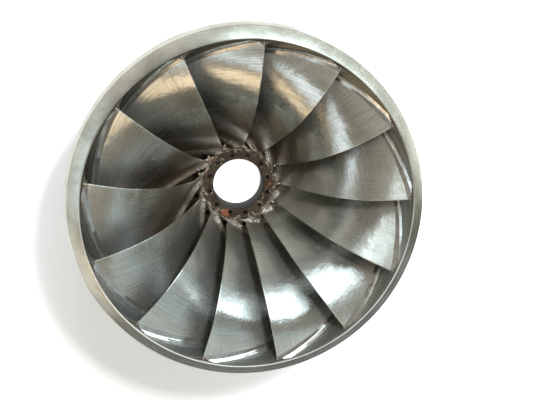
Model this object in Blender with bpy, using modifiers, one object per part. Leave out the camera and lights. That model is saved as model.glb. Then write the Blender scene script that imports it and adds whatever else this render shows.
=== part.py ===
import math

import bmesh
import bpy
from mathutils import Matrix, Vector

# Runner of a francis turbine, lying on the shaft face of its crown with the outlet up.
# Metres, +Z up. The origin is the centre of the shaft face, on the axis of rotation.

BLADE_COUNT = 13
PITCH = math.tau / BLADE_COUNT
SEGMENTS = 4 * BLADE_COUNT      # facets of every turned piece, so that all channels are alike
FACET = math.tau / SEGMENTS

OUTER_RADIUS = 0.584            # both wear rings
HEIGHT = 0.540
SEAM = 0.0003                   # gap between pieces that touch
CHAMFER = 0.003

# Crown: the disc that the shaft is bolted to
BORE_RADIUS = 0.094
BORE_CHAMFER = 0.0045
SPIGOT_RADIUS = 0.099           # recess in the shaft face that centres the shaft
SPIGOT_DEPTH = 0.018
HUB_RADIUS = 0.134
HUB_FACE_Z = 0.115
CROWN_RIM_RADIUS = 0.582
CROWN_RIM_Z = 0.054
CROWN_RISE_POWER = 6
CROWN_RIM_THICKNESS = 0.008
CROWN_SEAT_RADIUS = 0.566
CROWN_BACK_Z = 0.006
BACK_RECESS_Z = 0.014
BACK_RECESS_RADIUS = 0.505
FLANGE_RADIUS = 0.142
FLANGE_SLOPE = 0.004

# Holes round the bore
BOLT_COUNT = 12
BOLT_CIRCLE_RADIUS = 0.1125
BOLT_HOLE_RADIUS = 0.008
BOLT_PHASE = math.radians(8)
RELIEF_CIRCLE_RADIUS = 0.160
RELIEF_HOLE_RADIUS = 0.011
HOLE_SIDES = 12

# Band: the outer ring that the blades end in
INLET_Z = 0.275
INLET_RADIUS = 0.582
THROAT_RADIUS = 0.503
THROAT_Z = 0.420
RIM_RADIUS = 0.530
RIM_LAND = 0.003
SEAT_RADIUS = 0.572
SEAT_TOP_DROP = 0.035
SHOULDER_Z = 0.390
RING_FLARE = 0.0095
RING_FLARE_DROP = 0.028
RING_EDGE_DROP = 0.006

# Blades
LEADING_CROWN_RADIUS = 0.570
LEADING_BAND_ANGLE = math.radians(12)
TRAILING_ROOT_RADIUS = 0.138
TRAILING_TIP_DROP = 0.006
TRAILING_POWER = 2.7
OUTLET_LEAD = 0.180             # rise for each radian at the outlet
ROOT_COTANGENT = 0.64           # added to the outlet's cotangent at the crown, where the blade lies flatter
INLET_COTANGENT = 0.4
TURN_POWER = 0.6
ROOT_TURN_POWER = 3.5
TRAILING_THICKNESS = 0.0035
BLADE_THICKNESS = 0.018
NOSE_SHARE = 0.05

# Welds along both ends of each blade
WELD_LEG = 0.012
WELD_ROOT = 0.004
WELD_SEAM = 0.0006              # under a weld, whose facets cut across those of the crown

# Shares of the way from the leading to the trailing edge, where every surface has a row of vertices
STATIONS = [0, 0.012, 0.035, 0.08, 0.16, 0.27, 0.39, 0.51, 0.63, 0.73, 0.82, 0.90, 0.955, 1.0]
MIDDLE_ROWS = 5
CURVE_POINTS = 64
WRAP_STEPS = 24


def measured(points):
    # A curve as pairs of its share of the length and its point
    lengths = [0.0]
    for a, b in zip(points, points[1:]):
        lengths.append(lengths[-1] + (b - a).length)
    return [(length / lengths[-1], point) for length, point in zip(lengths, points)]


def along(curve, share):
    # The point at a share of a measured curve's length, on past its ends too
    for (start, a), (end, b) in zip(curve, curve[1:]):
        if share <= end:
            break
    return a.lerp(b, (share - start) / (end - start))


def crown_height(radius):
    rise = (CROWN_RIM_RADIUS - radius) / (CROWN_RIM_RADIUS - HUB_RADIUS)
    return CROWN_RIM_Z + (HUB_FACE_Z - CROWN_RIM_Z) * rise ** CROWN_RISE_POWER


def band_turn(angle):
    # Quarter turn of the band's water side, from the inlet lip to the throat
    radius = INLET_RADIUS - (INLET_RADIUS - THROAT_RADIUS) * math.sin(angle)
    return Vector((radius, THROAT_Z - (THROAT_Z - INLET_Z) * math.cos(angle)))


def band_flare(height):
    # Water side above the throat
    share = (height - THROAT_Z) / (HEIGHT - THROAT_Z)
    return Vector((THROAT_RADIUS + (RIM_RADIUS - THROAT_RADIUS) * share ** 2, height))


def crown_curve():
    steps = [k / CURVE_POINTS for k in range(CURVE_POINTS + 1)]
    radii = [LEADING_CROWN_RADIUS + (TRAILING_ROOT_RADIUS - LEADING_CROWN_RADIUS) * k for k in steps]
    return measured([Vector((r, crown_height(r))) for r in radii])


def band_curve():
    steps = [k / CURVE_POINTS for k in range(CURVE_POINTS + 1)]
    turn = [band_turn(LEADING_BAND_ANGLE + (math.pi / 2 - LEADING_BAND_ANGLE) * k) for k in steps]
    top = HEIGHT - TRAILING_TIP_DROP
    return measured(turn + [band_flare(THROAT_Z + (top - THROAT_Z) * k) for k in steps[1:]])


def trailing_curve(root, tip):
    points = []
    for k in range(CURVE_POINTS + 1):
        share = k / CURVE_POINTS
        radius = root.x + (tip.x - root.x) * share
        points.append(Vector((radius, tip.y + (root.y - tip.y) * (1 - share) ** TRAILING_POWER)))
    return measured(points)


CROWN_CURVE = crown_curve()
BAND_CURVE = band_curve()
TRAILING_CURVE = trailing_curve(along(CROWN_CURVE, 1), along(BAND_CURVE, 1))


def meridian(s, t):
    # Radius and height at a share s from crown to band and t from leading to trailing edge
    crown, band = along(CROWN_CURVE, t), along(BAND_CURVE, t)
    crown_start, band_start = along(CROWN_CURVE, 0), along(BAND_CURVE, 0)
    leading = crown_start.lerp(band_start, s)
    trailing = along(TRAILING_CURVE, s)
    root, tip = along(TRAILING_CURVE, 0), along(TRAILING_CURVE, 1)
    corners = leading.lerp(root.lerp(tip, s), t)
    return crown.lerp(band, s) + leading.lerp(trailing, t) - corners


def blade_cotangent(s, t):
    # Cotangent of the angle between the blade and the direction of rotation
    root = (1 - s) ** 2
    outlet = meridian(s, 1).x / OUTLET_LEAD + ROOT_COTANGENT * root
    return INLET_COTANGENT + (outlet - INLET_COTANGENT) * t ** (TURN_POWER + ROOT_TURN_POWER * root)


def wrap_angle(s, t):
    # Angle round the axis, ahead of the trailing edge
    angle = 0.0
    step = (1 - t) / WRAP_STEPS
    for k in range(WRAP_STEPS):
        start, end = meridian(s, t + k * step), meridian(s, t + (k + 1) * step)
        angle += (end - start).length * 2 * blade_cotangent(s, t + (k + 0.5) * step) / (start.x + end.x)
    return angle


def half_thickness(t):
    body = TRAILING_THICKNESS + (BLADE_THICKNESS - TRAILING_THICKNESS) * (1 - t)
    nose = max(0.0, 1 - t / NOSE_SHARE)
    return body / 2 * math.sqrt(1 - nose ** 2)


def polar(radius, height, angle):
    return Vector((radius * math.cos(angle), radius * math.sin(angle), height))


def blade_point(s, t, offset):
    # A point beside the blade's middle surface, moved square to it along the stream surface
    here = meridian(s, t)
    step = 0.01
    way = (meridian(s, t + step / 2) - meridian(s, t - step / 2)).normalized()
    cotangent = blade_cotangent(s, t)
    slope = math.hypot(1, cotangent)
    moved = here + way * offset * cotangent / slope
    return polar(moved.x, moved.y, wrap_angle(s, t) + offset / slope / moved.x)


def span(t):
    return (along(BAND_CURVE, t) - along(CROWN_CURVE, t)).length


def rows(t):
    # Shares from crown to band: the weld's root and top at each end, and even rows between
    foot = WELD_ROOT / span(t)
    top = (WELD_ROOT + WELD_LEG) / span(t)
    middle = [top + (1 - 2 * top) * (k + 1) / (MIDDLE_ROWS + 1) for k in range(MIDDLE_ROWS)]
    return [foot, top] + middle + [1 - top, 1 - foot]


def loft(name, rings, slants, caps):
    # Triangles between rings of points. A slant of 1 crosses from the first ring's nearer point.
    mesh = bmesh.new()
    rings = [[mesh.verts.new(point) for point in ring] for ring in rings]
    count = len(rings[0])
    for first, second in zip(rings, rings[1:]):
        for i in range(count):
            a, b, c, d = first[i], first[(i + 1) % count], second[(i + 1) % count], second[i]
            mesh.faces.new((a, b, c) if slants[i] else (a, b, d))
            mesh.faces.new((a, c, d) if slants[i] else (b, c, d))
    for ring, faces in zip((rings[0], rings[-1]), caps):
        for face in faces:
            mesh.faces.new([ring[i] for i in face])
    bmesh.ops.remove_doubles(mesh, verts=mesh.verts, dist=0.00001)
    bmesh.ops.recalc_face_normals(mesh, faces=mesh.faces)
    data = bpy.data.meshes.new(name)
    mesh.to_mesh(data)
    mesh.free()
    data.shade_smooth()
    data.set_sharp_from_angle(angle=math.radians(40))
    return data


def blade_mesh():
    rings = []
    for t in STATIONS:
        half = half_thickness(t)
        lower = [blade_point(s, t, -half) for s in rows(t)]
        upper = [blade_point(s, t, half) for s in reversed(rows(t))]
        rings.append(lower + upper)
    count = len(rings[0])
    side = count // 2
    slants = [1] * side + [0] * side
    last = count - 1
    edge = []
    for i in range(side - 1):
        edge += [(i, i + 1, last - i), (i + 1, last - i - 1, last - i)]
    return loft("blade", rings, slants, ([], edge))


def wall_point(curve, k, towards_water, angle):
    # A point a weld seam off the faceted crown or band, on the row of station k
    t = STATIONS[k]
    before = along(curve, STATIONS[max(k - 1, 0)])
    after = along(curve, STATIONS[min(k + 1, len(STATIONS) - 1)])
    way = (after - before).normalized()
    normal = Vector((-way.y, way.x)) * towards_water
    point = along(curve, t) + normal * WELD_SEAM
    radius = point.x * math.cos(FACET / 2) / math.cos(angle % FACET - FACET / 2)
    return polar(radius, point.y, angle)


def weld_section(at_band, k):
    # Toe, top and slot on the lower side, the same on the upper side, then under the blade
    t = STATIONS[k]
    curve = BAND_CURVE if at_band else CROWN_CURVE
    share = abs(at_band - (WELD_ROOT - SEAM) / span(t))
    top = abs(at_band - (WELD_ROOT + WELD_LEG) / span(t))
    half = half_thickness(t)
    angle = wrap_angle(at_band, t)
    slope = math.hypot(1, blade_cotangent(at_band, t))
    reach = (half + WELD_LEG) * slope / along(curve, t).x
    water = 1 if at_band else -1
    return [
        wall_point(curve, k, water, angle - reach),
        blade_point(top, t, -half - SEAM),
        blade_point(share, t, -half - SEAM),
        blade_point(share, t, half + SEAM),
        blade_point(top, t, half + SEAM),
        wall_point(curve, k, water, angle + reach),
        wall_point(curve, k, water, angle),
    ]


def weld_mesh(at_band):
    rings = [weld_section(at_band, k) for k in range(len(STATIONS))]
    slants = [1, 1, 1, 0, 1, 0, 0] if at_band else [1, 0, 1, 1, 1, 0, 0]
    ends = [(0, 1, 2), (0, 2, 6), (6, 2, 3), (6, 3, 5), (5, 3, 4)]
    return loft("band_weld" if at_band else "crown_weld", rings, slants, (ends, ends))


def crown_profile():
    bore = BORE_RADIUS + BORE_CHAMFER
    hub = [(bore, HUB_FACE_Z), (HUB_RADIUS, HUB_FACE_Z)]
    water = [tuple(along(CROWN_CURVE, t)) for t in reversed(STATIONS)]
    rim_bottom = CROWN_RIM_Z - CROWN_RIM_THICKNESS
    rim = [
        (CROWN_RIM_RADIUS, CROWN_RIM_Z),
        (CROWN_RIM_RADIUS, rim_bottom),
        (CROWN_SEAT_RADIUS, rim_bottom),
        (CROWN_SEAT_RADIUS, CROWN_BACK_Z),
    ]
    back = [
        (BACK_RECESS_RADIUS, CROWN_BACK_Z),
        (BACK_RECESS_RADIUS - FLANGE_SLOPE, BACK_RECESS_Z),
        (FLANGE_RADIUS + FLANGE_SLOPE, BACK_RECESS_Z),
        (FLANGE_RADIUS, 0),
    ]
    inside = [
        (SPIGOT_RADIUS, 0),
        (SPIGOT_RADIUS, SPIGOT_DEPTH),
        (BORE_RADIUS, SPIGOT_DEPTH),
        (BORE_RADIUS, HUB_FACE_Z - BORE_CHAMFER),
    ]
    return hub + water + rim + back + inside


def band_profile():
    seat_top = HEIGHT - SEAT_TOP_DROP
    outside = [
        (RIM_RADIUS, HEIGHT),
        (RIM_RADIUS + RIM_LAND, HEIGHT),
        (SEAT_RADIUS, seat_top),
        (SEAT_RADIUS, SHOULDER_Z),
        (INLET_RADIUS - CHAMFER, SHOULDER_Z),
        (INLET_RADIUS, SHOULDER_Z - CHAMFER),
    ]
    water = [tuple(along(BAND_CURVE, t)) for t in STATIONS]
    return outside + [(INLET_RADIUS, INLET_Z)] + water


def band_ring_profile():
    top = HEIGHT - SEAT_TOP_DROP
    flare = SEAT_RADIUS + RING_FLARE
    bottom = SHOULDER_Z + SEAM
    return [
        (SEAT_RADIUS + SEAM, top),
        (flare, top - RING_FLARE_DROP),
        (OUTER_RADIUS, top - RING_FLARE_DROP - RING_EDGE_DROP),
        (OUTER_RADIUS, bottom + CHAMFER),
        (OUTER_RADIUS - CHAMFER, bottom),
        (SEAT_RADIUS + SEAM, bottom),
    ]


def crown_ring_profile():
    top = CROWN_RIM_Z - CROWN_RIM_THICKNESS - SEAM
    inner = CROWN_SEAT_RADIUS + SEAM
    return [
        (inner, top),
        (OUTER_RADIUS, top),
        (OUTER_RADIUS, CROWN_BACK_Z + CHAMFER),
        (OUTER_RADIUS - CHAMFER, CROWN_BACK_Z),
        (inner, CROWN_BACK_Z),
    ]


def material(name, colour, roughness, metallic):
    surface = bpy.data.materials.new(name)
    surface.use_nodes = True
    shader = surface.node_tree.nodes["Principled BSDF"]
    shader.inputs["Base Color"].default_value = (*colour, 1)
    shader.inputs["Roughness"].default_value = roughness
    shader.inputs["Metallic"].default_value = metallic
    surface.diffuse_color = (*colour, 1)
    return surface


def add_object(name, data, collection, surface):
    thing = bpy.data.objects.new(name, data)
    collection.objects.link(thing)
    if surface and not data.materials:
        data.materials.append(surface)
    return thing


def turned(name, profile, collection, surface):
    # A closed profile at +X, running down its outer side, turned about Z
    data = bpy.data.meshes.new(name)
    count = len(profile)
    edges = [(i, (i + 1) % count) for i in range(count)]
    data.from_pydata([(radius, 0, height) for radius, height in profile], edges, [])
    thing = add_object(name, data, collection, surface)
    screw = thing.modifiers.new("turn", "SCREW")
    screw.axis = "Z"
    screw.steps = SEGMENTS
    screw.render_steps = SEGMENTS
    screw.use_merge_vertices = True
    screw.merge_threshold = 0.00001
    screw.use_smooth_shade = True
    return thing


def hole_cutter(collection):
    # The bolt holes and relief holes, right through the crown
    mesh = bmesh.new()
    length = HUB_FACE_Z * 2
    bolts = (BOLT_COUNT, BOLT_CIRCLE_RADIUS, BOLT_HOLE_RADIUS, BOLT_PHASE)
    reliefs = (BLADE_COUNT, RELIEF_CIRCLE_RADIUS, RELIEF_HOLE_RADIUS, 0)
    for count, circle, radius, phase in (bolts, reliefs):
        for i in range(count):
            centre = polar(circle, HUB_FACE_Z / 2, phase + math.tau * i / count)
            bmesh.ops.create_cone(
                mesh,
                cap_ends=True,
                segments=HOLE_SIDES,
                radius1=radius,
                radius2=radius,
                depth=length,
                matrix=Matrix.Translation(centre),
            )
    data = bpy.data.meshes.new("crown_holes")
    mesh.to_mesh(data)
    mesh.free()
    cutter = add_object("crown_holes", data, collection, None)
    cutter.hide_render = True
    cutter.display_type = "WIRE"
    return cutter


def cut(thing, cutter):
    difference = thing.modifiers.new("holes", "BOOLEAN")
    difference.operation = "DIFFERENCE"
    difference.solver = "EXACT"
    difference.object = cutter


def thirteen(name, data, collection, surface):
    for i in range(BLADE_COUNT):
        copy = add_object(f"{name}_{i + 1:02d}", data, collection, surface)
        copy.rotation_euler.z = PITCH * i


def main():
    for thing in list(bpy.data.objects):
        bpy.data.objects.remove(thing, do_unlink=True)
    parts = bpy.data.collections.new("francis_runner")
    cutters = bpy.data.collections.new("cutters")
    for collection in (parts, cutters):
        bpy.context.scene.collection.children.link(collection)

    cast = material("crown_steel", (0.30, 0.27, 0.23), 0.45, 1.0)
    turned_steel = material("band_steel", (0.56, 0.55, 0.51), 0.32, 1.0)
    ring_steel = material("ring_steel", (0.62, 0.61, 0.58), 0.30, 1.0)
    ground = material("blade_steel", (0.50, 0.49, 0.45), 0.25, 1.0)
    weld = material("weld_metal", (0.66, 0.64, 0.60), 0.28, 1.0)

    crown = turned("crown", crown_profile(), parts, cast)
    cut(crown, hole_cutter(cutters))
    turned("band", band_profile(), parts, turned_steel)
    turned("band_wear_ring", band_ring_profile(), parts, ring_steel)
    turned("crown_wear_ring", crown_ring_profile(), parts, ring_steel)
    thirteen("blade", blade_mesh(), parts, ground)
    thirteen("band_weld", weld_mesh(1), parts, weld)
    thirteen("crown_weld", weld_mesh(0), parts, weld)


main()
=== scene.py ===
import math

import bmesh
import bpy
import numpy as np
from mathutils import Matrix, Vector, noise


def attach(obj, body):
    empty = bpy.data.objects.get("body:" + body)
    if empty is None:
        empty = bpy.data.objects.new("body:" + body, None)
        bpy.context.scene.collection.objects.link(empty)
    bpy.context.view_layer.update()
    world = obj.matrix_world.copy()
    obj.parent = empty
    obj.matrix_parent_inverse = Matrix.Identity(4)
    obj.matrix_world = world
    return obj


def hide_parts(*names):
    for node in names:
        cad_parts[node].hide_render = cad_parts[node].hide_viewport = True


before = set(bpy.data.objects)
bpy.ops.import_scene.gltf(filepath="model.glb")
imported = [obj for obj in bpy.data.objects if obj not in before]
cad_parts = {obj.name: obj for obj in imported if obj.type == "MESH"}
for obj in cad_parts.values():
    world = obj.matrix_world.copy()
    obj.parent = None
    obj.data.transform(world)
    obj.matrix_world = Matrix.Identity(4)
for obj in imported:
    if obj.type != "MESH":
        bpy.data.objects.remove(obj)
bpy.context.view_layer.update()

# The view of the photograph: where the camera is, and which way its image's right and top lie
photoCamera = {
    "place": (-0.4544, 0.3764, 2.6544),
    "right": (0.8944, 0.4254, 0.138),
    "up": (-0.3899, 0.8928, -0.2255),
    "lens": 47.0,    # mm, on a sensor of 36 mm
}


def placeCamera(spec):
    right = Vector(spec["right"]).normalized()
    back = right.cross(Vector(spec["up"])).normalized()
    up = back.cross(right)
    lens = bpy.data.cameras.new("photoCamera")
    lens.lens = spec["lens"]
    camera = bpy.data.objects.new("photoCamera", lens)
    bpy.context.scene.collection.objects.link(camera)
    turn = Matrix((right, up, back)).transposed().to_4x4()
    camera.matrix_world = Matrix.Translation(spec["place"]) @ turn
    bpy.context.scene.camera = camera


placeCamera(photoCamera)
print("camera placed")


class Wire:
    # One output in a node tree. Arithmetic on it adds Math nodes.
    def __init__(self, bench, socket):
        self.bench = bench
        self.socket = socket

    def maths(self, operation, *values):
        return self.bench.maths(operation, *values)

    def __add__(self, other):
        return self.maths("ADD", self, other)

    __radd__ = __add__

    def __sub__(self, other):
        return self.maths("SUBTRACT", self, other)

    def __rsub__(self, other):
        return self.maths("SUBTRACT", other, self)

    def __mul__(self, other):
        return self.maths("MULTIPLY", self, other)

    __rmul__ = __mul__

    def __truediv__(self, other):
        return self.maths("DIVIDE", self, other)

    def __pow__(self, power):
        return self.maths("POWER", self, power)


class Bench:
    # A node tree in the making, of a material or of geometry nodes
    def __init__(self, tree):
        self.tree = tree

    def add(self, kind, settings=None, values=None, output=0):
        node = self.tree.nodes.new(kind)
        for key, value in (settings or {}).items():
            setattr(node, key, value)
        for key, value in (values or {}).items():
            self.plug(node.inputs[key], value)
        return Wire(self, node.outputs[output])

    def maths(self, operation, *values):
        return self.add("ShaderNodeMath", {"operation": operation}, dict(enumerate(values)))

    def plug(self, socket, value):
        if isinstance(value, Wire):
            self.tree.links.new(value.socket, socket)
        else:
            socket.default_value = value

    def parts(self, vector):
        split = self.add("ShaderNodeSeparateXYZ", values={0: vector})
        outputs = split.socket.node.outputs
        return [Wire(self, outputs[k]) for k in range(3)]

    def vector(self, x, y, z):
        return self.add("ShaderNodeCombineXYZ", values={0: x, 1: y, 2: z})

    def grain(self, vector, scale, detail=2.0, roughness=0.5):
        values = {"Vector": vector, "Scale": scale, "Detail": detail, "Roughness": roughness}
        return self.add("ShaderNodeTexNoise", values=values)

    def between(self, value, low, high):
        # 0 at low, 1 at high, smooth between
        settings = {"interpolation_type": "SMOOTHSTEP"}
        values = {"Value": value, "From Min": low, "From Max": high}
        return self.add("ShaderNodeMapRange", settings, values)

    def mixed(self, share, first, second):
        values = {"Factor": share, 6: first, 7: second}
        return self.add("ShaderNodeMix", {"data_type": "RGBA"}, values, output=2)

    def relief(self, height, distance):
        return self.add("ShaderNodeBump", values={"Height": height, "Distance": distance})


paintedShadeSide = (-0.43, 0.90)    # direction from the axis of the runner's side that is painted darker and browner, as painted shade


class Finish(Bench):
    # A material round one Principled shader
    def __init__(self, name, **constants):
        self.material = bpy.data.materials.new(name)
        self.material.use_nodes = True
        super().__init__(self.material.node_tree)
        self.shader = self.tree.nodes["Principled BSDF"]
        for key, value in constants.items():
            self.shader.inputs[key.replace("_", " ")].default_value = value

    def set(self, **values):
        for key, value in values.items():
            self.plug(self.shader.inputs[key.replace("_", " ")], value)

    def places(self):
        return self.add("ShaderNodeTexCoord", output="Object")

    def surfaceShares(self):
        return self.add("ShaderNodeUVMap", {"uv_map": "shares"})

    def roundAxis(self, place):
        x, y, z = self.parts(place)
        return x, y, z, (x * x + y * y) ** 0.5

    def facingUp(self):
        return self.parts(self.add("ShaderNodeNewGeometry", output="Normal"))[2]

    def onPaintedShadeSide(self, x, y, low, high):
        # 0 at low and 1 at high, in metres from the axis towards the side painted as shaded
        return self.between(x * paintedShadeSide[0] + y * paintedShadeSide[1], low, high)


def colour(red, green, blue):
    return (red, green, blue, 1.0)


# The water's passage, in metres, as the solids have it
passage = {
    "crownRimRadius": 0.582,
    "crownRimHeight": 0.054,
    "crownRisePower": 6,
    "hubRadius": 0.134,
    "hubFace": 0.115,
    "inletRadius": 0.582,
    "inletHeight": 0.275,
    "throatRadius": 0.503,
    "throatHeight": 0.420,
    "rimRadius": 0.530,
    "height": 0.540,
}
bladePlan = {
    "count": 13,
    "leadingRadius": 0.570,
    "leadingBandAngle": math.radians(12),
    "rootRadius": 0.138,
    "tipDrop": 0.006,
    "edgePower": 2.7,          # how far the trailing edge dips between band and hub
    "outletLead": 0.180,       # radius over the blade's cotangent, at the trailing edge
    "rootCotangent": 0.64,
    "inletCotangent": 0.4,
    "turnPower": 0.6,
    "rootTurnPower": 3.5,
    "edgeThickness": 0.0035,
    "thickness": 0.018,
    "noseShare": 0.05,
    "edgeRounding": 0.0012,
    "edgeShare": 0.0022,
    "foot": 0.004,
    "rowsAcross": 34,
    "stepsAlong": 58,
    "noseSteps": 7,
    "edgeSteps": (1.0, 0.6, 0.3, 0.1, 0.0),
    "wrapSteps": 24,
    "waviness": 0.0009,
    "waveScale": 9.0,
}
curveSteps = {"crown": 161, "band": 81, "edge": 129}
nudge = 0.005                  # share of a curve's length, for its direction


def crownHeight(radius):
    reach = passage["crownRimRadius"] - passage["hubRadius"]
    rise = (passage["crownRimRadius"] - radius) / reach
    climb = passage["hubFace"] - passage["crownRimHeight"]
    return passage["crownRimHeight"] + climb * rise ** passage["crownRisePower"]


def bandTurn(angle):
    # The band's water side from the inlet lip to the throat
    inward = passage["inletRadius"] - passage["throatRadius"]
    rise = passage["throatHeight"] - passage["inletHeight"]
    radius = passage["inletRadius"] - inward * np.sin(angle)
    return np.stack([radius, passage["throatHeight"] - rise * np.cos(angle)], axis=-1)


def bandFlare(height):
    # The band's water side from the throat to the rim
    share = (height - passage["throatHeight"]) / (passage["height"] - passage["throatHeight"])
    radius = passage["throatRadius"] + (passage["rimRadius"] - passage["throatRadius"]) * share ** 2
    return np.stack([radius, height], axis=-1)


def measured(points):
    # A curve with the share of its length at each point
    lengths = np.concatenate([[0.0], np.cumsum(np.hypot(*np.diff(points, axis=0).T))])
    return lengths / lengths[-1], points


def along(curve, share):
    shares, points = curve
    return np.stack([np.interp(share, shares, points[:, k]) for k in (0, 1)], axis=-1)


def crownCurve():
    radii = np.linspace(bladePlan["leadingRadius"], bladePlan["rootRadius"], curveSteps["crown"])
    return measured(np.stack([radii, crownHeight(radii)], axis=-1))


def bandCurve():
    steps = curveSteps["band"]
    turn = bandTurn(np.linspace(bladePlan["leadingBandAngle"], math.pi / 2, steps))
    top = passage["height"] - bladePlan["tipDrop"]
    flare = bandFlare(np.linspace(passage["throatHeight"], top, steps))
    return measured(np.concatenate([turn, flare[1:]]))


crownLine = crownCurve()
bandLine = bandCurve()


def edgeCurve():
    root, tip = along(crownLine, 1.0), along(bandLine, 1.0)
    share = np.linspace(0, 1, curveSteps["edge"])
    radii = root[0] + (tip[0] - root[0]) * share
    heights = tip[1] + (root[1] - tip[1]) * (1 - share) ** bladePlan["edgePower"]
    return measured(np.stack([radii, heights], axis=-1))


edgeLine = edgeCurve()


def heading(pointAt, t):
    # The direction of a curve at shares t of its length
    way = pointAt(np.minimum(t + nudge, 1)) - pointAt(np.maximum(t - nudge, 0))
    return way / np.hypot(*np.moveaxis(way, -1, 0))[..., None]


def lerp(first, second, share):
    share = np.asarray(share)[..., None]
    return first * (1 - share) + second * share


def meridian(s, t):
    # Radius and height at shares s from crown to band and t from leading to trailing edge
    s, t = np.broadcast_arrays(np.asarray(s, float), np.asarray(t, float))
    root, tip = along(edgeLine, 0.0), along(edgeLine, 1.0)
    leading = lerp(along(crownLine, 0.0), along(bandLine, 0.0), s)
    trailing = along(edgeLine, s)
    corners = lerp(leading, lerp(root, tip, s), t)
    return lerp(along(crownLine, t), along(bandLine, t), s) + lerp(leading, trailing, t) - corners


def bladeCotangent(s, t):
    # How flat the blade lies against the direction of rotation
    nearRoot = (1 - np.asarray(s, float)) ** 2
    outlet = meridian(s, 1.0)[..., 0] / bladePlan["outletLead"] + bladePlan["rootCotangent"] * nearRoot
    power = bladePlan["turnPower"] + bladePlan["rootTurnPower"] * nearRoot
    return bladePlan["inletCotangent"] + (outlet - bladePlan["inletCotangent"]) * np.asarray(t) ** power


def wrapAngle(s, t):
    # Angle round the axis, ahead of the trailing edge
    s, t = np.broadcast_arrays(np.asarray(s, float), np.asarray(t, float))
    steps = bladePlan["wrapSteps"]
    step = (1 - t) / steps
    angle = np.zeros(t.shape)
    start = meridian(s, t)
    for k in range(steps):
        end = meridian(s, t + (k + 1) * step)
        length = np.hypot(*np.moveaxis(end - start, -1, 0))
        angle = angle + length * 2 * bladeCotangent(s, t + (k + 0.5) * step) / (start[..., 0] + end[..., 0])
        start = end
    return angle


def halfThickness(t):
    t = np.asarray(t, float)
    body = bladePlan["edgeThickness"] + (bladePlan["thickness"] - bladePlan["edgeThickness"]) * (1 - t)
    nose = np.clip(1 - t / bladePlan["noseShare"], 0, 1)
    edge = np.clip(1 - (1 - t) / bladePlan["edgeShare"], 0, 1)
    rounding = bladePlan["edgeRounding"] * (1 - np.sqrt(1 - edge ** 2))
    return body / 2 * np.sqrt(1 - nose ** 2) - rounding


def polar(radius, height, angle):
    return np.stack([radius * np.cos(angle), radius * np.sin(angle), height], axis=-1)


def bladePoint(s, t, offset):
    # A point beside the blade's middle surface, moved square to it along the stream surface
    s, t, offset = np.broadcast_arrays(*(np.asarray(v, float) for v in (s, t, offset)))
    way = heading(lambda share: meridian(s, share), t)
    cotangent = bladeCotangent(s, t)
    slope = np.hypot(1, cotangent)
    moved = meridian(s, t) + way * (offset * cotangent / slope)[..., None]
    return polar(moved[..., 0], moved[..., 1], wrapAngle(s, t) + offset / slope / moved[..., 0])


def span(t):
    return np.hypot(*np.moveaxis(along(bandLine, t) - along(crownLine, t), -1, 0))


def stations(count):
    # Shares along the blade, closer together at its nose and at its trailing edge
    nose = bladePlan["noseShare"] * (1 - np.cos(np.linspace(0, math.pi / 2, bladePlan["noseSteps"])))
    body = np.linspace(bladePlan["noseShare"], 1 - 4 * bladePlan["edgeShare"], count)
    edge = 1 - bladePlan["edgeShare"] * np.array(bladePlan["edgeSteps"])
    return np.concatenate([nose, body[1:], edge])


def gridMesh(name, rings, shares, closed, smoothAngle=40, capFirst=False, capLast=False):
    # rings: one row of points for each step along the piece. shares: the same for its UV map.
    steps, count = rings.shape[:2]
    vertices = [tuple(p) for p in rings.reshape(-1, 3)]
    faces = []
    for i in range(steps - 1):
        for j in range(count if closed else count - 1):
            k = (j + 1) % count
            faces.append((i * count + j, i * count + k, (i + 1) * count + k, (i + 1) * count + j))
    if capFirst:
        faces.append(tuple(range(count)))
    if capLast:
        faces.append(tuple(reversed(range((steps - 1) * count, steps * count))))
    data = bpy.data.meshes.new(name)
    data.from_pydata(vertices, [], faces)
    layer = data.uv_layers.new(name="shares")
    flat = shares.reshape(-1, 2)
    order = np.empty(len(data.loops), np.int32)
    data.loops.foreach_get("vertex_index", order)
    layer.data.foreach_set("uv", flat[order].astype(np.float32).ravel())
    mesh = bmesh.new()
    mesh.from_mesh(data)
    bmesh.ops.remove_doubles(mesh, verts=mesh.verts, dist=0.00002)
    bmesh.ops.recalc_face_normals(mesh, faces=mesh.faces)
    mesh.to_mesh(data)
    mesh.free()
    data.shade_smooth()
    data.set_sharp_from_angle(angle=math.radians(smoothAngle))
    return data


def bladeMesh():
    across = bladePlan["rowsAcross"]
    t = stations(bladePlan["stepsAlong"])
    foot = bladePlan["foot"] / span(t)
    inner = np.linspace(0, 1, across)
    s = foot[:, None] + (1 - 2 * foot[:, None]) * inner[None, :]
    grid = np.broadcast_to(t[:, None], s.shape)
    half = halfThickness(grid)
    lower = bladePoint(s, grid, -half)
    upper = bladePoint(s[:, ::-1], grid, half)
    shares = np.stack([s, grid], axis=-1)
    return gridMesh(
        "blade",
        np.concatenate([lower, upper], axis=1),
        np.concatenate([shares, shares[:, ::-1]], axis=1),
        closed=True,
        capLast=True,
    )


weldPlan = {
    "leg": 0.012,
    "root": 0.004,
    "seam": 0.0003,
    "hollow": 0.40,              # how far the fillet's middle is ground in towards the corner
    "unevenness": 0.14,
    "unevenSteps": 14,           # how often the fillet's size changes along the weld
    "unevenStarts": (3.7, 9.1),  # keep the sides and the two ends of a blade from changing alike
    "filletSteps": 10,
    "stepsAlong": 80,
}


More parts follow.
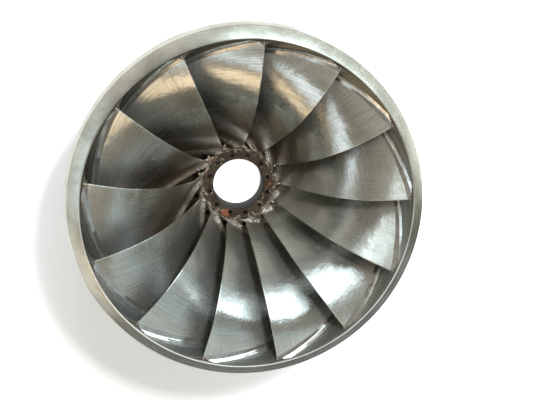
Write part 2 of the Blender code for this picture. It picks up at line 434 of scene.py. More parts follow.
def weldMesh(atBand):
    curve = bandLine if atBand else crownLine
    t = stations(weldPlan["stepsAlong"])
    share = abs(atBand - (weldPlan["root"] - weldPlan["seam"]) / span(t))
    half = halfThickness(t)
    point = along(curve, t)
    way = heading(lambda place: along(curve, place), t)
    normal = np.stack([-way[:, 1], way[:, 0]], axis=-1) * (1 if atBand else -1)
    wall = point + normal * weldPlan["seam"]
    angle = wrapAngle(float(atBand), t)
    slope = np.hypot(1, bladeCotangent(float(atBand), t))
    sections = []
    often, (bySide, byEnd) = weldPlan["unevenSteps"], weldPlan["unevenStarts"]
    for side in (-1, 1):
        start = side * bySide + atBand * byEnd
        sway = np.array([noise.noise(Vector((v * often, start, 0))) for v in t])
        leg = weldPlan["leg"] * (1 + weldPlan["unevenness"] * sway)
        top = abs(atBand - (weldPlan["root"] + leg) / span(t))
        reach = (half + leg) * slope / point[:, 0]
        toe = polar(wall[:, 0], wall[:, 1], angle + side * reach)
        crest = bladePoint(top, t, side * (half + weldPlan["seam"]))
        corner = polar(wall[:, 0], wall[:, 1], angle + side * half * slope / point[:, 0])
        slot = bladePoint(share, t, side * (half + weldPlan["seam"]))
        fillet = []
        for k in np.linspace(0, 1, weldPlan["filletSteps"] + 1):
            straight = toe * (1 - k) + crest * k
            fillet.append(straight + (corner - straight) * weldPlan["hollow"] * 4 * k * (1 - k))
        sections.append(fillet + [slot])
    under = [polar(wall[:, 0], wall[:, 1], angle)]
    ring = np.stack(sections[0] + sections[1][::-1] + under, axis=1)
    count = ring.shape[1]
    shares = np.stack(np.broadcast_arrays(np.arange(count)[None, :] / count, t[:, None]), axis=-1)
    name = "bandWeld" if atBand else "crownWeld"
    return gridMesh(name, ring, shares, closed=True, smoothAngle=50, capFirst=True, capLast=True)


def ringTree():
    # Copies turned round the axis, their surfaces made slightly wavy, one material
    tree = bpy.data.node_groups.new("ringOfCopies", "GeometryNodeTree")
    face = tree.interface
    face.new_socket("Piece", in_out="INPUT", socket_type="NodeSocketGeometry")
    for name, kind, value in (
        ("Count", "NodeSocketInt", bladePlan["count"]),
        ("Waviness", "NodeSocketFloat", 0.0),
        ("Wave scale", "NodeSocketFloat", bladePlan["waveScale"]),
    ):
        face.new_socket(name, in_out="INPUT", socket_type=kind).default_value = value
    face.new_socket("Material", in_out="INPUT", socket_type="NodeSocketMaterial")
    face.new_socket("Ring", in_out="OUTPUT", socket_type="NodeSocketGeometry")
    bench = Bench(tree)
    entry = tree.nodes.new("NodeGroupInput")
    given = {socket.name: Wire(bench, socket) for socket in entry.outputs if socket.name}
    spots = bench.add("GeometryNodePoints", values={"Count": given["Count"]})
    index = bench.add("GeometryNodeInputIndex")
    turn = bench.add("ShaderNodeCombineXYZ", values={2: index * math.tau / given["Count"]})
    copies = bench.add(
        "GeometryNodeInstanceOnPoints",
        values={"Points": spots, "Instance": given["Piece"], "Rotation": turn},
    )
    whole = bench.add("GeometryNodeRealizeInstances", values={"Geometry": copies})
    waves = bench.add(
        "ShaderNodeTexNoise",
        values={"Scale": given["Wave scale"], "Detail": 1.0, "Roughness": 0.4},
    )
    lift = (waves - 0.5) * given["Waviness"]
    push = bench.add(
        "ShaderNodeVectorMath",
        {"operation": "SCALE"},
        {0: bench.add("GeometryNodeInputNormal"), "Scale": lift},
    )
    moved = bench.add("GeometryNodeSetPosition", values={"Geometry": whole, "Offset": push})
    dressed = bench.add(
        "GeometryNodeSetMaterial",
        values={"Geometry": moved, "Material": given["Material"]},
    )
    leave = tree.nodes.new("NodeGroupOutput")
    tree.links.new(dressed.socket, leave.inputs[0])
    return tree


copiesTree = ringTree()


def addObject(name, data):
    thing = bpy.data.objects.new(name, data)
    bpy.context.scene.collection.objects.link(thing)
    return thing


def settled(thing):
    # The evaluated object as a plain mesh, its modifiers gone
    graph = bpy.context.evaluated_depsgraph_get()
    data = bpy.data.meshes.new_from_object(thing.evaluated_get(graph), depsgraph=graph)
    thing.modifiers.clear()
    thing.data = data
    data.name = thing.name
    return thing


def ringOf(name, data, finish, nodes, waviness=0.0):
    thing = addObject(name, data)
    modifier = thing.modifiers.new("ring", "NODES")
    modifier.node_group = copiesTree
    sockets = copiesTree.interface.items_tree
    inputs = {socket.name: socket.identifier for socket in sockets if socket.in_out == "INPUT"}
    modifier[inputs["Count"]] = bladePlan["count"]
    modifier[inputs["Waviness"]] = waviness
    modifier[inputs["Wave scale"]] = bladePlan["waveScale"]
    modifier[inputs["Material"]] = finish
    settled(thing)
    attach(thing, "root")
    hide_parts(*[f"{nodes}_{k + 1:02d}" for k in range(bladePlan["count"])])
    return thing


turning = {
    "segments": 260,
    "cornerRadius": 0.0012,
    "cornerSteps": 3,
    "sharpFrom": math.radians(22),    # a corner that bends less stays as it is
    "mostOfSide": 0.4,                # the share of a short side that a corner may take
    "crownSteps": 56,                 # points along the curved water sides
    "lipSteps": 6,
    "bandSteps": 60,
}


def softened(profile):
    # A closed profile with its sharp corners rounded
    most, steps = turning["mostOfSide"], turning["cornerSteps"]
    points = [Vector(p) for p in profile]
    out = []
    for k, here in enumerate(points):
        before, after = points[k - 1], points[(k + 1) % len(points)]
        toBefore, toAfter = before - here, after - here
        bend = math.pi - toBefore.angle(toAfter)
        if bend < turning["sharpFrom"]:
            out.append(here)
            continue
        reach = min(turning["cornerRadius"], toBefore.length * most, toAfter.length * most)
        start, end = here + toBefore.normalized() * reach, here + toAfter.normalized() * reach
        for j in range(steps + 1):
            share = j / steps
            out.append(start.lerp(here, share).lerp(here.lerp(end, share), share))
    return out


def turned(name, corners):
    profile = softened(corners)
    data = bpy.data.meshes.new(name)
    count = len(profile)
    edges = [(k, (k + 1) % count) for k in range(count)]
    data.from_pydata([(p[0], 0, p[1]) for p in profile], edges, [])
    thing = addObject(name, data)
    screw = thing.modifiers.new("turn", "SCREW")
    screw.axis = "Z"
    screw.steps = turning["segments"]
    screw.render_steps = turning["segments"]
    screw.use_merge_vertices = True
    screw.merge_threshold = 0.00001
    settled(thing)
    mesh = bmesh.new()
    mesh.from_mesh(thing.data)
    bmesh.ops.recalc_face_normals(mesh, faces=mesh.faces)
    mesh.to_mesh(thing.data)
    mesh.free()
    return thing


def smooth(thing, degrees=35):
    thing.data.shade_smooth()
    thing.data.set_sharp_from_angle(angle=math.radians(degrees))


def finished(thing, finish, node):
    thing.data.materials.clear()
    thing.data.materials.append(finish)
    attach(thing, "root")
    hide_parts(node)
    return thing


crownPlan = {
    "bore": 0.094,
    "boreChamfer": 0.0045,
    "spigot": 0.099,
    "spigotDepth": 0.018,
    "rimThickness": 0.008,
    "seat": 0.566,
    "back": 0.006,
    "recess": 0.014,
    "recessRadius": 0.505,
    "flange": 0.142,
    "flangeSlope": 0.004,
    "boltCount": 12,
    "boltCircle": 0.1125,
    "boltRadius": 0.008,
    "boltPhase": math.radians(8),
    "reliefCircle": 0.160,
    "reliefRadius": 0.011,
    "holeSides": 36,
    "holeChamfer": 0.0012,
    "pinBelow": 0.02,      # how far the pins that cut the holes stand out of the crown
    "pinAbove": 0.03,
}


def crownProfile():
    plan, face = crownPlan, passage["hubFace"]
    water = along(crownLine, np.linspace(1, 0, turning["crownSteps"]))
    rimBottom = passage["crownRimHeight"] - plan["rimThickness"]
    return [
        (plan["bore"] + plan["boreChamfer"], face),
        (passage["hubRadius"], face),
        *[tuple(p) for p in water],
        (passage["crownRimRadius"], passage["crownRimHeight"]),
        (passage["crownRimRadius"], rimBottom),
        (plan["seat"], rimBottom),
        (plan["seat"], plan["back"]),
        (plan["recessRadius"], plan["back"]),
        (plan["recessRadius"] - plan["flangeSlope"], plan["recess"]),
        (plan["flange"] + plan["flangeSlope"], plan["recess"]),
        (plan["flange"], 0),
        (plan["spigot"], 0),
        (plan["spigot"], plan["spigotDepth"]),
        (plan["bore"], plan["spigotDepth"]),
        (plan["bore"], face - plan["boreChamfer"]),
    ]


def holeCutter():
    # One closed pin for each hole, wider at both faces where the holes are chamfered
    plan = crownPlan
    mesh = bmesh.new()
    flare, below, above = plan["holeChamfer"], plan["pinBelow"], plan["pinAbove"]
    face, phase = passage["hubFace"], plan["boltPhase"]
    waterSide = float(crownHeight(plan["reliefCircle"]))
    for count, circle, radius, phase, top, bottom in (
        (plan["boltCount"], plan["boltCircle"], plan["boltRadius"], phase, face, 0.0),
        (bladePlan["count"], plan["reliefCircle"], plan["reliefRadius"], 0.0, waterSide, plan["recess"]),
    ):
        levels = [
            (bottom - below, radius + flare + below),
            (bottom + flare, radius),
            (top - flare, radius),
            (top + above, radius + flare + above),
        ]
        for k in range(count):
            centre = Vector(polar(circle, 0.0, phase + math.tau * k / count))
            rings = []
            for height, wide in levels:
                rings.append([
                    mesh.verts.new(centre + Vector((wide * math.cos(a), wide * math.sin(a), height)))
                    for a in np.linspace(0, math.tau, plan["holeSides"], endpoint=False)
                ])
            for low, high in zip(rings, rings[1:]):
                for j in range(len(low)):
                    i = (j + 1) % len(low)
                    mesh.faces.new((low[j], low[i], high[i], high[j]))
            mesh.faces.new(list(reversed(rings[0])))
            mesh.faces.new(rings[-1])
    data = bpy.data.meshes.new("holes")
    mesh.to_mesh(data)
    mesh.free()
    return addObject("holes", data)


def makeCrown():
    thing = turned("runnerCrown", crownProfile())
    cutter = holeCutter()
    cut = thing.modifiers.new("holes", "BOOLEAN")
    cut.operation = "DIFFERENCE"
    cut.solver = "EXACT"
    cut.object = cutter
    settled(thing)
    bpy.data.objects.remove(cutter)
    return thing


bandPlan = {
    "rimLand": 0.003,
    "seat": 0.572,
    "seatDrop": 0.035,
    "shoulder": 0.390,
    "ringRadius": 0.584,
    "ringFlare": 0.0095,
    "ringFlareDrop": 0.028,
    "ringEdgeDrop": 0.006,
    "chamfer": 0.003,
    "seam": 0.0003,
}


def bandProfile():
    plan, top = bandPlan, passage["height"]
    lip = bandTurn(np.linspace(0, bladePlan["leadingBandAngle"], turning["lipSteps"]))
    water = along(bandLine, np.linspace(0, 1, turning["bandSteps"]))
    return [
        (passage["rimRadius"], top),
        (passage["rimRadius"] + plan["rimLand"], top),
        (plan["seat"], top - plan["seatDrop"]),
        (plan["seat"], plan["shoulder"]),
        (passage["inletRadius"] - plan["chamfer"], plan["shoulder"]),
        (passage["inletRadius"], plan["shoulder"] - plan["chamfer"]),
        *[tuple(p) for p in lip],
        *[tuple(p) for p in water[1:]],
    ]


def bandRingProfile():
    plan = bandPlan
    top = passage["height"] - plan["seatDrop"]
    inner = plan["seat"] + plan["seam"]
    bottom = plan["shoulder"] + plan["seam"]
    return [
        (inner, top),
        (plan["seat"] + plan["ringFlare"], top - plan["ringFlareDrop"]),
        (plan["ringRadius"], top - plan["ringFlareDrop"] - plan["ringEdgeDrop"]),
        (plan["ringRadius"], bottom + plan["chamfer"]),
        (plan["ringRadius"] - plan["chamfer"], bottom),
        (inner, bottom),
    ]


def crownRingProfile():
    top = passage["crownRimHeight"] - crownPlan["rimThickness"] - bandPlan["seam"]
    inner = crownPlan["seat"] + bandPlan["seam"]
    outer = bandPlan["ringRadius"]
    return [
        (inner, top),
        (outer, top),
        (outer, crownPlan["back"] + bandPlan["chamfer"]),
        (outer - bandPlan["chamfer"], crownPlan["back"]),
        (inner, crownPlan["back"]),
    ]


bladeFinish = {
    "metal": 0.92,                     # the rest is the pale, scattered shine of the belt marks
    "spread": 0.94,                    # how much wider a highlight is round the axis than along the marks
    "roughness": 0.205,
    "streakRoughness": 0.12,
    "hubRoughness": 0.10,
    "flowMarks": (240, 5),             # how often the belt marks change across and along the flow
    "crossMarks": (300, 6),            # the same for the marks that run from hub to band
    "markDepth": 0.00011,
    "cloudScale": 7.0,
    "patchScale": 6.0,                 # the patches where the marks run across the flow
    "patchEdges": (0.40, 0.66),
    "dents": (42.0, 0.0007),           # how often, and how deep
    "facets": (17.0, 0.0014),
    "ripples": (24, 1.5, 0.00022),     # how often across and along the flow, and how deep
    "bright": colour(0.78, 0.78, 0.73),
    "dull": colour(0.51, 0.49, 0.415),
    "dullMix": (0.8, 0.5),             # what the marks and the clouds count for in it
    "dullEdges": (0.46, 0.86),
    "litSideBright": colour(0.77, 0.785, 0.75),    # the same two tones, cooler and less brown, on the side away from the painted shade: painted light from the cool window
    "litSideDull": colour(0.51, 0.51, 0.455),
    "litSideFrom": (-0.32, 0.06),
    # brown near the hub: part real stain, part painted shade deep between the blades and on the shaded side
    "stainAndShade": colour(0.15, 0.115, 0.075),
    "stainAndShadeRadii": (0.17, 0.37),
    "stainAndShadeUneven": 0.2,
    "stainAndShadeEdges": (0.20, 0.58),
    "stainAndShadeFrom": (-0.05, 0.13),
    "stainAndShadeShares": (0.12, 0.82),       # on the lit side, and how much more on the side painted as shaded
    "oxide": colour(0.33, 0.27, 0.185),
    "oxideScale": 6.0,
    "oxideEdges": (0.50, 0.60),
    "oxideRadii": (0.30, 0.48),
    "oxideShare": 0.6,
    "under": colour(0.10, 0.10, 0.10),    # painted shade: the faces turned to the crown are painted near black, darkening what the strips beside the trailing edges reflect
    "undersideShadeFacing": (-0.15, 0.10),
    "undersideShadeShare": 0.8,
}


def groundBladeSteel():
    plan = bladeFinish
    finish = Finish("groundBladeSteel", Metallic=plan["metal"], Anisotropic=plan["spread"])
    s, t, _ = finish.parts(finish.surfaceShares())
    place = finish.places()
    x, y, _, radius = finish.roundAxis(place)
    fine, long = plan["flowMarks"]
    flow = finish.grain(finish.vector(s * fine, t * long, radius * 3), 1.0, 4.0, 0.6)
    fine, long = plan["crossMarks"]
    cross = finish.grain(finish.vector(t * fine, s * long, radius * 3), 1.0, 3.0, 0.6)
    clouds = finish.grain(place, plan["cloudScale"], 4.0, 0.55)
    patches = finish.between(finish.grain(place, plan["patchScale"], 2.0), *plan["patchEdges"])
    streaks = flow * (1 - patches) + cross * patches
    byMarks, byClouds = plan["dullMix"]
    dull = finish.between(streaks * byMarks + clouds * byClouds, *plan["dullEdges"])
    # painted light: the blades turn cooler and less brown towards the lit side, away from the painted shade
    litSide = 1 - finish.onPaintedShadeSide(x, y, *plan["litSideFrom"])
    brightTone = finish.mixed(litSide, plan["bright"], plan["litSideBright"])
    base = finish.mixed(dull, brightTone, finish.mixed(litSide, plan["dull"], plan["litSideDull"]))
    # brown near the hub: part real stain, part painted shade deep between the blades, far stronger on the
    # side painted as shaded
    nearHub = 1 - finish.between(radius + (clouds - 0.5) * plan["stainAndShadeUneven"], *plan["stainAndShadeRadii"])
    least, more = plan["stainAndShadeShares"]
    stainAndShadeSide = least + more * finish.onPaintedShadeSide(x, y, *plan["stainAndShadeFrom"])
    oxide = finish.grain(place, plan["oxideScale"], 5.0, 0.62)
    # real oxide patches, laid on more heavily on the side painted as shaded, as painted shade
    oxide = finish.between(oxide, *plan["oxideEdges"]) * stainAndShadeSide
    oxide = oxide * (1 - finish.between(radius, *plan["oxideRadii"])) * plan["oxideShare"]
    base = finish.mixed(oxide, base, plan["oxide"])
    stainAndShade = nearHub * finish.between(clouds, *plan["stainAndShadeEdges"]) * stainAndShadeSide
    base = finish.mixed(stainAndShade, base, plan["stainAndShade"])
    # painted shade on the faces turned down, towards the crown
    under = (1 - finish.between(finish.facingUp(), *plan["undersideShadeFacing"])) * plan["undersideShadeShare"]
    base = finish.mixed(under, base, plan["under"])
    often, depth = plan["dents"]
    dents = finish.grain(place, often, 2.0) * depth
    often, depth = plan["facets"]
    dents = dents + finish.grain(place, often, 3.0) * depth
    fine, long, depth = plan["ripples"]
    dents = dents + finish.grain(finish.vector(s * fine, t * long, 0.0), 1.0, 2.0) * depth
    finish.set(
        Base_Color=base,
        Roughness=plan["roughness"] + streaks * plan["streakRoughness"] + nearHub * plan["hubRoughness"],
        Normal=finish.relief(streaks * plan["markDepth"] + dents, 1.0),
    )
    return finish.material


weldFinish = {
    "bright": colour(0.86, 0.86, 0.815),
    "dull": colour(0.33, 0.31, 0.27),
    "dullMix": (0.5, 0.5),
    "dullEdges": (0.4, 0.7),
    "middle": 0.55,                      # painted shade: how much darker the weld is painted between its two ground edges, so the edges read as highlight lines
    "middleEdges": (0.14, 0.27),
    "cap": colour(0.15, 0.14, 0.125),    # the end of the weld at the blade's trailing edge
    "capFrom": 0.9985,                   # where that end starts, as a share of the weld's length
    "capEdge": 0.0013,
    "capPatchiness": 0.0,                      # how much of that end's tone is broken into patches
    "capPatchScale": 75.0,
    "capPatchEdges": (0.49, 0.57),
    "metal": 0.9,
    "capMetal": 0.9,
    "roughness": 0.11,
    "markRoughness": 0.12,
    "marks": (40, 90),                   # how often they change across and along the weld
    "markDepth": 0.00010,
    "cloudScale": 30.0,
}
rootWeldFinish = {
    **weldFinish,
    "bright": colour(0.92, 0.86, 0.76),
    "dull": colour(0.26, 0.185, 0.12),
    "middle": 0.0,
    # painted highlight: the crown welds' ends are painted near white and half matt, in patches, standing in
    # for the glints there
    "cap": colour(0.95, 0.92, 0.85),
    "capFrom": 0.915,
    "capPatchiness": 1.0,
    "metal": 0.8,
    "capMetal": 0.5,
    "roughness": 0.17,
}


def groundWeld(name, plan):
    finish = Finish(name)
    s, t, _ = finish.parts(finish.surfaceShares())
    place = finish.places()
    across, lengthwise = plan["marks"]
    marks = finish.grain(finish.vector(s * across, t * lengthwise, 0.0), 1.0, 3.0, 0.6)
    clouds = finish.grain(place, plan["cloudScale"], 3.0)
    byMarks, byClouds = plan["dullMix"]
    dull = finish.between(marks * byMarks + clouds * byClouds, *plan["dullEdges"])
    base = finish.mixed(dull, plan["bright"], plan["dull"])
    # painted shade along the weld's middle, so its two edges read as highlight lines
    middle = 1 - finish.between(finish.maths("ABSOLUTE", s - 0.5), *plan["middleEdges"])
    base = finish.mixed(middle * plan["middle"], base, plan["dull"])
    # the weld's end at the trailing edge: dark on the band welds; on the crown welds a painted highlight,
    # broken into patches
    cap = finish.between(t, plan["capFrom"], plan["capFrom"] + plan["capEdge"])
    if plan["capPatchiness"]:
        worn = 1 - finish.between(finish.grain(place, plan["capPatchScale"], 4.0, 0.7), *plan["capPatchEdges"])
        cap = cap * (1 - worn * plan["capPatchiness"])
    finish.set(
        Base_Color=finish.mixed(cap, base, plan["cap"]),
        Metallic=plan["metal"] + cap * (plan["capMetal"] - plan["metal"]),
        Roughness=plan["roughness"] + marks * plan["markRoughness"],
        Normal=finish.relief(marks, plan["markDepth"]),
    )
    return finish.material


ringFinish = {
    "bright": colour(0.84, 0.84, 0.81),
    "dull": colour(0.62, 0.61, 0.57),
    "dullMix": (0.4, 0.8),
    "dullEdges": (0.48, 0.74),
    "flankShade": colour(0.17, 0.18, 0.185),    # painted shade on the upright outer sides
    "flankShadeFacing": (0.10, 0.40),
    "flankShadeRadii": (0.530, 0.560),
    "flankShadeShare": 0.6,
    "metal": 0.93,
    "roughness": 0.24,
    "markRoughness": 0.12,
    "marks": 900,                          # how often the turning marks change
    "markDepth": 0.00015,
    "cloudScale": 9.0,
}
bandFinish = {
    **ringFinish,
    "bright": colour(0.60, 0.595, 0.53),
    "dull": colour(0.40, 0.395, 0.34),
    "roughness": 0.20,
    "inside": colour(0.15, 0.128, 0.096),    # the tarnished wall that the water runs along, painted darker on the shaded side as painted shade
    # painted light: the same wall painted lighter on the lit side
    "insideClean": colour(0.44, 0.44, 0.405),
    "litSideFrom": (-0.32, 0.12),
    "insideRadii": (0.529, 0.530),
    "insideShare": 0.85,
    "rimEdgeHighlight": colour(0.97, 0.97, 0.97),     # painted highlight along the narrow flat edge of the rim, on the lit side only
    "rimEdgeHighlightFacing": (0.82, 0.95),
    "rimEdgeHighlightRadii": (0.5285, 0.5295),
    "rimEdgeHighlightShare": 0.7,
    "rimEdgeHighlightMetal": 0.35,
}


def turnedSteel(name, plan):
    finish = Finish(name, Metallic=plan["metal"])
    place = finish.places()
    x, y, z, radius = finish.roundAxis(place)
    rings = finish.grain(finish.vector(radius * plan["marks"], z * plan["marks"], 0.0), 1.0, 2.0, 0.6)
    clouds = finish.grain(place, plan["cloudScale"], 5.0, 0.65)
    byMarks, byClouds = plan["dullMix"]
    dull = finish.between(rings * byMarks + clouds * byClouds, *plan["dullEdges"])
    base = finish.mixed(dull, plan["bright"], plan["dull"])
    facing = finish.facingUp()
    # painted shade on the upright outer sides
    flankShade = (1 - finish.between(facing, *plan["flankShadeFacing"])) * finish.between(radius, *plan["flankShadeRadii"])
    base = finish.mixed(flankShade * plan["flankShadeShare"], base, plan["flankShade"])
    if "inside" in plan:
        # the inner wall: tarnish, painted dark on the shaded side and light on the lit side as painted
        # shade and light
        litSide = 1 - finish.onPaintedShadeSide(x, y, *plan["litSideFrom"])
        wall = (1 - finish.between(radius, *plan["insideRadii"])) * plan["insideShare"]
        base = finish.mixed(wall, base, finish.mixed(litSide, plan["inside"], plan["insideClean"]))
        # painted highlight on the rim's flat edge, on the lit side only
        edge = finish.between(facing, *plan["rimEdgeHighlightFacing"])
        edge = edge * finish.between(radius, *plan["rimEdgeHighlightRadii"]) * litSide * plan["rimEdgeHighlightShare"]
        base = finish.mixed(edge, base, plan["rimEdgeHighlight"])
        finish.set(Metallic=plan["metal"] - edge * (plan["metal"] - plan["rimEdgeHighlightMetal"]))
    finish.set(
        Base_Color=base,
        Roughness=plan["roughness"] + rings * plan["markRoughness"],
        Normal=finish.relief(rings, plan["markDepth"]),
    )
    return finish.material


crownFinish = {
    "bright": colour(0.70, 0.61, 0.48),
    "dull": colour(0.25, 0.185, 0.12),
    "dullEdges": (0.35, 0.7),
    "brown": colour(0.034, 0.024, 0.017),
    "brownRadii": (0.136, 0.150),
    "brownUneven": 0.012,
    "brownShare": 0.92,
    "worn": colour(0.50, 0.42, 0.32),
    "wornScale": 55.0,
    "wornEdges": (0.57, 0.65),
    "rimWearAndGlintRadii": (0.126, 0.133),        # the hub's rim is painted brighter than the rest, part real wear and part painted edge glint
    "rimWearAndGlint": 0.11,
    "rust": colour(0.21, 0.075, 0.035),
    "rustSpot": (0.003, -0.120, 0.016),    # the largest patch of rust: x, y and radius
    "rustSpotEdge": 0.7,
    "rustSpotUneven": 0.02,
    "freckleScale": 34.0,
    "freckleEdges": (0.60, 0.70),
    # painted shade: the bore's wall is painted near black and matt
    "boreWallShade": colour(0.022, 0.023, 0.019),
    "boreWallShadeEdges": (0.001, 0.002),       # outside the bore's radius
    "markScale": 90.0,
    "cloudScale": 22.0,
    "reliefDepth": 0.0004,
    "wornRelief": 0.6,
    "brownMatt": 0.45,                     # how much less like metal the brown and the rust are
    "rustMatt": 0.5,
    "roughness": 0.24,
    "markRoughness": 0.12,
    "brownRoughness": 0.25,
    "boreRoughness": 0.3,
}


def crownSteel():
    plan = crownFinish
    finish = Finish("crownSteel")
    place = finish.places()
    x, y, _, radius = finish.roundAxis(place)
    marks = finish.grain(place, plan["markScale"], 3.0, 0.6)
    clouds = finish.grain(place, plan["cloudScale"], 4.0, 0.6)
    base = finish.mixed(finish.between(clouds, *plan["dullEdges"]), plan["bright"], plan["dull"])
    hub = 1 - finish.between(radius + clouds * plan["brownUneven"], *plan["brownRadii"])
    base = finish.mixed(hub * plan["brownShare"], base, plan["brown"])
    # the hub's rim painted brighter: part real wear, part painted glint along its edge
    rim = finish.between(radius, *plan["rimWearAndGlintRadii"]) * hub
    wornGrain = finish.grain(place, plan["wornScale"], 5.0, 0.7)
    worn = finish.between(wornGrain + rim * plan["rimWearAndGlint"], *plan["wornEdges"]) * hub
    base = finish.mixed(worn, base, plan["worn"])
    spotX, spotY, spotSize = plan["rustSpot"]
    fromSpot = ((x - spotX) ** 2.0 + (y - spotY) ** 2.0) ** 0.5 + (clouds - 0.5) * plan["rustSpotUneven"]
    spot = 1 - finish.between(fromSpot, spotSize * plan["rustSpotEdge"], spotSize)
    freckles = finish.grain(place, plan["freckleScale"], 4.0, 0.65)
    freckles = finish.between(freckles, *plan["freckleEdges"])
    rust = hub * finish.maths("MAXIMUM", spot, freckles)
    base = finish.mixed(rust, base, plan["rust"])
    # painted shade on the bore's wall, near black and not metal
    near, far = plan["boreWallShadeEdges"]
    wall = 1 - finish.between(radius, crownPlan["bore"] + near, crownPlan["bore"] + far)
    base = finish.mixed(wall, base, plan["boreWallShade"])
    rough = plan["roughness"] + marks * plan["markRoughness"]
    finish.set(
        Base_Color=base,
        Metallic=(1 - hub * plan["brownMatt"] - rust * plan["rustMatt"]) * (1 - wall),
        Roughness=rough + hub * plan["brownRoughness"] + wall * plan["boreRoughness"],
        Normal=finish.relief(marks + worn * plan["wornRelief"] + rust, plan["reliefDepth"]),
    )
    return finish.material


bladeSteel = groundBladeSteel()
weldSteel = groundWeld("groundWeld", weldFinish)
rootWeldSteel = groundWeld("groundRootWeld", rootWeldFinish)
bandSteel = turnedSteel("turnedBandSteel", bandFinish)
ringSteel = turnedSteel("turnedRingSteel", ringFinish)

blades = ringOf("runnerBlades", bladeMesh(), bladeSteel, "blade", bladePlan["waviness"])
bandWelds = ringOf("bandWelds", weldMesh(1), weldSteel, "band_weld")
crownWelds = ringOf("crownWelds", weldMesh(0), rootWeldSteel, "crown_weld")
print("blades and welds made:", [len(thing.data.polygons) for thing in (blades, bandWelds, crownWelds)])

turnedPieces = [
    finished(makeCrown(), crownSteel(), "crown"),
    finished(turned("runnerBand", bandProfile()), bandSteel, "band"),
    finished(turned("bandWearRing", bandRingProfile()), ringSteel, "band_wear_ring"),
    finished(turned("crownWearRing", crownRingProfile()), ringSteel, "crown_wear_ring"),
]
for thing in turnedPieces:
    smooth(thing)
print("crown, band and rings made:", [len(thing.data.polygons) for thing in turnedPieces])


studio = {
    "floorSize": 14.0,
    "floorDrop": 0.001,            # the wide floor lies this far below the plate under the runner
    "floorRoughness": 0.9,
    "plateRadius": 0.57,
    "plateSides": 64,
    "floorColour": colour(0.9, 0.9, 0.9),
    "boreGlow": 0.9,
    "boreGlowRadii": (0.115, 0.125),
    "floorGlow": 0.30,
    "imageRight": 25.4,            # direction of the image's right-hand side, degrees
    "walls": colour(0.14, 0.12, 0.085),
    "ceiling": colour(0.46, 0.43, 0.37),
    "ceilingFrom": (50.0, 80.0),   # elevation, degrees
    "backdrop": colour(0.95, 0.95, 0.95),
}
# Soft panels round the runner. In degrees: azimuth from the image's right, elevation, half width,
# half height and soft edge. Then how far they lean and narrow upwards, colour and brightness.
panels = {
    "ground": (110, -45, 121, 46, 7, 0.0, 0.0, (1.0, 0.99, 0.92), 1.0),
    "groundRight": (20, -62, 30, 36, 5, 0.0, 0.0, (0.88, 1.0, 1.04), 5.0),
    "groundLeft": (285, -30, 50, 24, 7, 0.0, 0.0, (0.93, 1.0, 1.03), 0.27),
    "horizon": (130, 6, 52, 9, 6, 0.0, 0.0, (1.0, 0.98, 0.92), 0.68),
    "sideFill": (328, 38, 40, 21, 6, 0.0, 0.0, (0.82, 1.0, 1.06), 0.52),
    "highGlow": (278, 62, 72, 13, 9, 0.0, 0.0, (1.0, 0.95, 0.84), 0.68),
    "warmBand": (230, 28, 12, 28, 3, 0.6, 0.0, (1.0, 0.79, 0.54), 1.55),
    "whiteBand": (192, 30, 14, 27, 3, 0.85, 0.25, (0.86, 1.0, 1.12), 1.4),
    "window": (61, 29, 31, 21, 2, 0.5, 0.6, (0.82, 0.98, 1.06), 4.2),
}


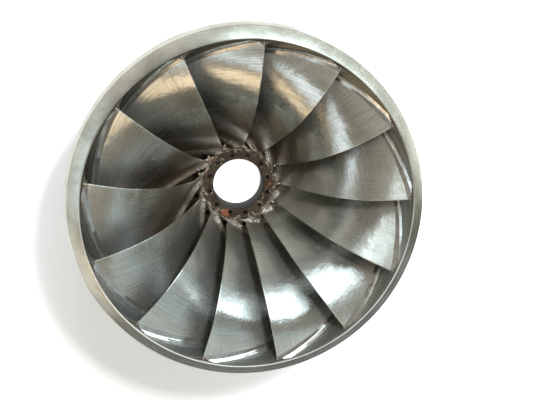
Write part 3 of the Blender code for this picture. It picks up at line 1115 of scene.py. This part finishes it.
def makeFloor():
    # A dark plate under the runner, its glow seen through the bore, on a wide floor
    rough, pale = studio["floorRoughness"], studio["floorColour"]
    turns = np.linspace(0, math.tau, studio["plateSides"], endpoint=False)
    rim = [tuple(polar(studio["plateRadius"], 0.0, angle)) for angle in turns]
    data = bpy.data.meshes.new("plate")
    data.from_pydata(rim, [], [tuple(range(len(rim)))])
    finish = Finish("shadedFloor", Roughness=rough, Base_Color=pale, Emission_Strength=1.0)
    _, _, _, radius = finish.roundAxis(finish.places())
    inBore = 1 - finish.between(radius, *studio["boreGlowRadii"])
    finish.set(Emission_Color=finish.mixed(inBore * studio["boreGlow"], colour(0, 0, 0), colour(1, 1, 1)))
    data.materials.append(finish.material)
    addObject("plate", data)
    half, height = studio["floorSize"] / 2, -studio["floorDrop"]
    data = bpy.data.meshes.new("floor")
    corners = [(-half, -half, height), (half, -half, height), (half, half, height), (-half, half, height)]
    data.from_pydata(corners, [], [(0, 1, 2, 3)])
    finish = Finish("paleFloor", Roughness=rough, Base_Color=pale, Emission_Color=colour(1, 1, 1))
    finish.set(Emission_Strength=studio["floorGlow"])
    data.materials.append(finish.material)
    floor = addObject("floor", data)
    floor.visible_glossy = False      # the steel shows the room's own ground instead


def makeRoom():
    # The room that the steel reflects, as soft panels on a dim background
    world = bpy.data.worlds.new("room")
    world.use_nodes = True
    bench = Bench(world.node_tree)
    x, y, z = bench.parts(bench.add("ShaderNodeTexCoord", output="Generated"))
    azimuth = bench.maths("DEGREES", bench.maths("ARCTAN2", y, x)) - studio["imageRight"]
    elevation = bench.maths("DEGREES", bench.maths("ARCSINE", z))
    overhead = bench.between(elevation, *studio["ceilingFrom"])
    light = bench.mixed(overhead, studio["walls"], studio["ceiling"])
    for place, height, halfWidth, halfHeight, edge, lean, narrowing, tint, strength in panels.values():
        rise = elevation - height
        width = bench.maths("MAXIMUM", halfWidth - rise * narrowing, 0.0)
        off = bench.maths("ABSOLUTE", bench.maths("WRAP", azimuth - (place + rise * lean), 180.0, -180.0))
        across = 1 - bench.between(off - width, -edge, edge)
        up = bench.maths("ABSOLUTE", rise)
        mask = across * (1 - bench.between(up, halfHeight - edge, halfHeight + edge))
        light = bench.mixed(mask, light, colour(*(strength * value for value in tint)))
    seen = bench.add("ShaderNodeLightPath", output="Is Camera Ray")
    light = bench.mixed(seen, light, studio["backdrop"])
    bench.plug(world.node_tree.nodes["Background"].inputs["Color"], light)
    bpy.context.scene.world = world


softKey = {
    "azimuth": 65.0,
    "elevation": 62.0,
    "distance": 4.0,
    "size": 0.5,
    "power": 170.0,
}


def makeKey():
    # The light from the window, for the shadows between the blades and beside the runner
    light = bpy.data.lights.new("softKey", "AREA")
    light.size = softKey["size"]
    light.energy = softKey["power"]
    lamp = addObject("softKey", light)
    azimuth = math.radians(softKey["azimuth"] + studio["imageRight"])
    elevation = math.radians(softKey["elevation"])
    reach = softKey["distance"]
    lamp.location = polar(reach * math.cos(elevation), reach * math.sin(elevation), azimuth)
    lamp.rotation_euler = (-lamp.location).to_track_quat("-Z", "Y").to_euler()
    lamp.visible_glossy = False


makeFloor()
makeRoom()
makeKey()
bpy.context.scene.view_settings.view_transform = "Standard"
print("floor and lights placed")
